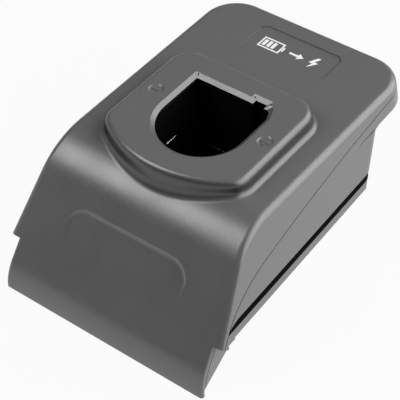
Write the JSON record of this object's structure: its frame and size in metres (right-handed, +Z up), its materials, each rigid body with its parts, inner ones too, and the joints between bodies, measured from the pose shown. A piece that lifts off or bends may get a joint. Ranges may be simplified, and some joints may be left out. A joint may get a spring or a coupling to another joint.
{
  "type": "charging head for stem battery packs",
  "caption": "Slide-on charging head: sloping two-part casing with side guide slots, raised pad and a D-shaped well whose sprung contacts meet a stem battery pack.",
  "frame": {"origin": "centre of the length and width, on the table plane under the well housing", "axes": "X across, -Y the sloping front apron, +Y the rear lip with the base plug, +Z up"},
  "size_m": [0.1016, 0.142, 0.063],
  "materials": {
    "casing_plastic": "fine texture",
    "liner_plastic": "smooth black",
    "block_plastic": "smooth",
    "strip_metal": "nickel plated",
    "board_laminate": "solder mask",
    "capacitor_sleeve": "shrink sleeve",
    "diode_moulding": "moulded",
    "sink_metal": "satin",
    "fuse_metal": "bright caps",
    "clip_metal": "tin plated",
    "resistor_coating": "dipped",
    "plug_plastic": "moulded",
    "blade_metal": "tin plated",
    "lead_black": "sleeved",
    "lead_red": "sleeved",
    "lead_yellow": "sleeved",
    "screw_metal": "zinc plated"
  },
  "bodies": {
    "casing": {"upper_shell": "casing_plastic", "lower_shell": "casing_plastic", "well_liner": "liner_plastic", "contact_block": "block_plastic", "circuit_board": "board_laminate", "filter_capacitor": "capacitor_sleeve", "blocking_diode": "diode_moulding", "heat_sink": "sink_metal", "fuse": "fuse_metal", "fuse_clips": "clip_metal", "coding_resistors": "resistor_coating", "base_plug": "plug_plastic", "plug_blades": "blade_metal", "negative_lead": "lead_black", "positive_lead": "lead_red", "sensor_lead": "lead_yellow", "case_screws": "screw_metal", "lip_screws": "screw_metal", "liner_screws": "screw_metal", "board_screws": "screw_metal"},
    "negative_strip": {"negative_contact": "strip_metal"},
    "positive_strip": {"positive_contact": "strip_metal"},
    "sensor_strip": {"sensor_contact": "strip_metal"}
  },
  "joints": [
    {"name": "negative_strip_spring", "type": "hinge", "parent": "casing", "child": "negative_strip", "pos_m": [-0.0178, -0.0027, 0.0046], "axis": [0, -1, 0], "range_deg": [0, 2.2], "stiffness_Nm_per_rad": 0.5},
    {"name": "positive_strip_spring", "type": "hinge", "parent": "casing", "child": "positive_strip", "pos_m": [0.0178, -0.0027, 0.0046], "axis": [0, 1, 0], "range_deg": [0, 2.2], "stiffness_Nm_per_rad": 0.5},
    {"name": "sensor_strip_spring", "type": "hinge", "parent": "casing", "child": "sensor_strip", "pos_m": [-0.008, 0.0143, 0.0046], "axis": [-1, 0, 0], "range_deg": [0, 2.6], "stiffness_Nm_per_rad": 0.3}
  ]
}
